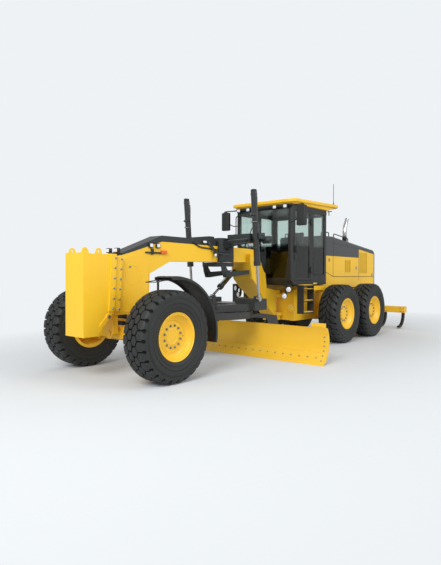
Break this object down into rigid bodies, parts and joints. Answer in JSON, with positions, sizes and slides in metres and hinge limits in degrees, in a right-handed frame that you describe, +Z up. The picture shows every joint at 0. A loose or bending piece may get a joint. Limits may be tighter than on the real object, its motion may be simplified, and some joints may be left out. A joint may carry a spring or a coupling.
{
  "type": "motor grader",
  "caption": "Articulated motor grader with push block, leaning steered front wheels, circle-mounted blade, cab and rear ripper.",
  "frame": {"origin": "on the ground at the centre of the machine's outline, wheels at rest", "axes": "+X the machine's left, -Y its front, +Z up"},
  "size_m": [4.268, 10.405, 3.7],
  "materials": {
    "yellow": "gloss",
    "graphite": "satin",
    "black": "satin",
    "glass": "clear",
    "lamp": "gloss",
    "chrome": "polished",
    "cloth": "woven",
    "tyre": "matte",
    "rim": "gloss"
  },
  "bodies": {
    "rear_frame": {"rear_frame": "yellow", "tandem_cases": "yellow", "hood": "yellow", "grilles": "black", "engine": "graphite", "exhaust_stack": "chrome", "cab_shell": "graphite", "cab_roof": "yellow", "cab_glass": "glass", "seat": "cloth", "console": "graphite", "ladders_and_rails": "black", "mirrors_and_aerial": "black", "work_lamps": "lamp"},
    "front_frame": {"front_frame": "yellow", "beam_cover": "graphite", "push_block": "yellow", "front_lamps": "lamp", "saddle": "graphite", "front_axle": "yellow"},
    "drawbar": {"drawbar": "graphite"},
    "circle": {"circle": "graphite"},
    "blade_carrier": {"blade_carrier": "graphite"},
    "blade": {"moldboard": "yellow", "cutting_edge": "yellow"},
    "shift_barrel": {"shift_barrel": "graphite"},
    "shift_rod": {"shift_rod": "chrome"},
    "lean_bar": {"lean_bar": "yellow"},
    "tie_rod_end": {"tie_rod_end": "graphite"},
    "tie_rod": {"tie_rod": "graphite"},
    "ripper": {"ripper_frame": "yellow", "ripper_shanks": "graphite"},
    "ripper_barrel": {"ripper_barrel": "graphite"},
    "ripper_rod": {"ripper_rod": "chrome"},
    "lean_knuckle_left": {"lean_knuckle_left": "yellow"},
    "steer_knuckle_left": {"steer_knuckle_left": "yellow", "fender_left": "black"},
    "lift_barrel_left": {"lift_barrel_left": "graphite"},
    "lift_rod_left": {"lift_rod_left": "chrome"},
    "door_left": {"door_left": "graphite", "door_glass_left": "glass"},
    "lean_knuckle_right": {"lean_knuckle_right": "yellow"},
    "steer_knuckle_right": {"steer_knuckle_right": "yellow", "fender_right": "black"},
    "lift_barrel_right": {"lift_barrel_right": "graphite"},
    "lift_rod_right": {"lift_rod_right": "chrome"},
    "door_right": {"door_right": "graphite", "door_glass_right": "glass"},
    "wheel_front_left": {"tyre_front_left": "tyre", "rim_front_left": "rim"},
    "wheel_front_right": {"tyre_front_right": "tyre", "rim_front_right": "rim"},
    "wheel_fore_left": {"tyre_fore_left": "tyre", "rim_fore_left": "rim"},
    "wheel_fore_right": {"tyre_fore_right": "tyre", "rim_fore_right": "rim"},
    "wheel_aft_left": {"tyre_aft_left": "tyre", "rim_aft_left": "rim"},
    "wheel_aft_right": {"tyre_aft_right": "tyre", "rim_aft_right": "rim"}
  },
  "joints": [
    {"name": "articulation", "type": "hinge", "parent": "rear_frame", "child": "front_frame", "pos_m": [0, -0.09, 0.85], "axis": [0, 0, 1], "range_deg": [-22, 22]},
    {"name": "blade_lift", "type": "hinge", "parent": "front_frame", "child": "drawbar", "pos_m": [0, -3.78, 0.76], "axis": [1, 0, 0], "range_deg": [-15, 12.5]},
    {"name": "circle_turn", "type": "hinge", "parent": "drawbar", "child": "circle", "pos_m": [0, -2.19, 0.8], "axis": [0, 0, -1], "range_deg": [-50, 50]},
    {"name": "blade_pitch", "type": "hinge", "parent": "circle", "child": "blade_carrier", "pos_m": [0, -1.19, 0.56], "axis": [1, 0, 0], "range_deg": [-5, 25]},
    {"name": "blade_shift", "type": "slide", "parent": "blade_carrier", "child": "blade", "axis": [1, 0, 0], "range_m": [-0.68, 0.68]},
    {"name": "shift_barrel_swing", "type": "hinge", "parent": "front_frame", "child": "shift_barrel", "pos_m": [0, -1.39, 1.6], "axis": [1, 0, 0], "range_deg": [-14, 16]},
    {"name": "shift_rod_slide", "type": "slide", "parent": "shift_barrel", "child": "shift_rod", "axis": [0.3379, -0.8785, -0.3379], "range_m": [-0.03, 0.03]},
    {"name": "ripper_lift", "type": "hinge", "parent": "rear_frame", "child": "ripper", "pos_m": [0, 4.3, 0.64], "axis": [1, 0, 0], "range_deg": [-15, 25]},
    {"name": "ripper_barrel_swing", "type": "hinge", "parent": "rear_frame", "child": "ripper_barrel", "pos_m": [0, 4.26, 1.12], "axis": [1, 0, 0], "range_deg": [-12, 20]},
    {"name": "ripper_rod_slide", "type": "slide", "parent": "ripper_barrel", "child": "ripper_rod", "axis": [0, 0.8944, -0.4472], "range_m": [-0.19, 0.12]},
    {"name": "lean_left", "type": "hinge", "parent": "front_frame", "child": "lean_knuckle_left", "pos_m": [0.75, -4.34, 0.62], "axis": [0, 1, 0], "range_deg": [-18, 18]},
    {"name": "steer_left", "type": "hinge", "parent": "lean_knuckle_left", "child": "steer_knuckle_left", "pos_m": [0.85, -4.34, 0.665], "axis": [0, 0, 1], "range_deg": [-45, 45]},
    {"name": "lift_barrel_swing_left", "type": "hinge", "parent": "front_frame", "child": "lift_barrel_left", "pos_m": [0.85, -1.97, 2.25], "axis": [1, 0, 0], "range_deg": [-3, 3]},
    {"name": "lift_rod_slide_left", "type": "slide", "parent": "lift_barrel_left", "child": "lift_rod_left", "axis": [0, -0.0866, 0.9962], "range_m": [-0.53, 0.44]},
    {"name": "door_left_hinge", "type": "hinge", "parent": "rear_frame", "child": "door_left", "pos_m": [0.746, 0.243, 2.1], "axis": [0, 0, 1], "range_deg": [0, 85]},
    {"name": "lean_right", "type": "hinge", "parent": "front_frame", "child": "lean_knuckle_right", "pos_m": [-0.75, -4.34, 0.62], "axis": [0, 1, 0], "range_deg": [-18, 18]},
    {"name": "steer_right", "type": "hinge", "parent": "lean_knuckle_right", "child": "steer_knuckle_right", "pos_m": [-0.85, -4.34, 0.665], "axis": [0, 0, 1], "range_deg": [-45, 45]},
    {"name": "lift_barrel_swing_right", "type": "hinge", "parent": "front_frame", "child": "lift_barrel_right", "pos_m": [-0.85, -1.97, 2.25], "axis": [1, 0, 0], "range_deg": [-3, 3]},
    {"name": "lift_rod_slide_right", "type": "slide", "parent": "lift_barrel_right", "child": "lift_rod_right", "axis": [0, -0.0866, 0.9962], "range_m": [-0.53, 0.44]},
    {"name": "door_right_hinge", "type": "hinge", "parent": "rear_frame", "child": "door_right", "pos_m": [-0.746, 0.243, 2.1], "axis": [0, 0, -1], "range_deg": [0, 85]},
    {"name": "lean_bar_pivot", "type": "hinge", "parent": "lean_knuckle_left", "child": "lean_bar", "pos_m": [0.75, -4.25, 0.82], "axis": [0, 1, 0], "range_deg": [-18, 18]},
    {"name": "tie_rod_swivel", "type": "hinge", "parent": "steer_knuckle_left", "child": "tie_rod_end", "pos_m": [0.85, -4.168, 0.485], "axis": [0, 0, 1], "range_deg": [-45, 45]},
    {"name": "tie_rod_lean", "type": "hinge", "parent": "tie_rod_end", "child": "tie_rod", "pos_m": [0.85, -4.168, 0.485], "axis": [0, 1, 0], "range_deg": [-18, 18]},
    {"name": "spin_front_left", "type": "hinge", "parent": "steer_knuckle_left", "child": "wheel_front_left", "pos_m": [1.0275, -4.34, 0.665], "axis": [1, 0, 0], "continuous": true},
    {"name": "spin_front_right", "type": "hinge", "parent": "steer_knuckle_right", "child": "wheel_front_right", "pos_m": [-1.0275, -4.34, 0.665], "axis": [1, 0, 0], "continuous": true},
    {"name": "spin_fore_left", "type": "hinge", "parent": "rear_frame", "child": "wheel_fore_left", "pos_m": [1.0275, 1.05, 0.665], "axis": [1, 0, 0], "continuous": true},
    {"name": "spin_fore_right", "type": "hinge", "parent": "rear_frame", "child": "wheel_fore_right", "pos_m": [-1.0275, 1.05, 0.665], "axis": [1, 0, 0], "continuous": true},
    {"name": "spin_aft_left", "type": "hinge", "parent": "rear_frame", "child": "wheel_aft_left", "pos_m": [1.0275, 2.59, 0.665], "axis": [1, 0, 0], "continuous": true},
    {"name": "spin_aft_right", "type": "hinge", "parent": "rear_frame", "child": "wheel_aft_right", "pos_m": [-1.0275, 2.59, 0.665], "axis": [1, 0, 0], "continuous": true}
  ],
  "couplings": [
    {"joint": "shift_barrel_swing", "follows": "blade_lift", "ratio": -0.965},
    {"joint": "shift_rod_slide", "follows": "blade_lift", "m_per_rad": -0.086},
    {"joint": "ripper_barrel_swing", "follows": "ripper_lift", "ratio": 0.73},
    {"joint": "ripper_rod_slide", "follows": "ripper_lift", "m_per_rad": -0.418},
    {"joint": "lift_barrel_swing_left", "follows": "blade_lift", "ratio": -0.15},
    {"joint": "lift_rod_slide_left", "follows": "blade_lift", "m_per_rad": 1.965},
    {"joint": "lift_barrel_swing_right", "follows": "blade_lift", "ratio": -0.15},
    {"joint": "lift_rod_slide_right", "follows": "blade_lift", "m_per_rad": 1.965},
    {"joint": "lean_right", "follows": "lean_left", "ratio": 1},
    {"joint": "lean_bar_pivot", "follows": "lean_left", "ratio": -1},
    {"joint": "tie_rod_lean", "follows": "lean_left", "ratio": -0.8824},
    {"joint": "steer_right", "follows": "steer_left", "ratio": 1},
    {"joint": "tie_rod_swivel", "follows": "steer_left", "ratio": -1}
  ]
}
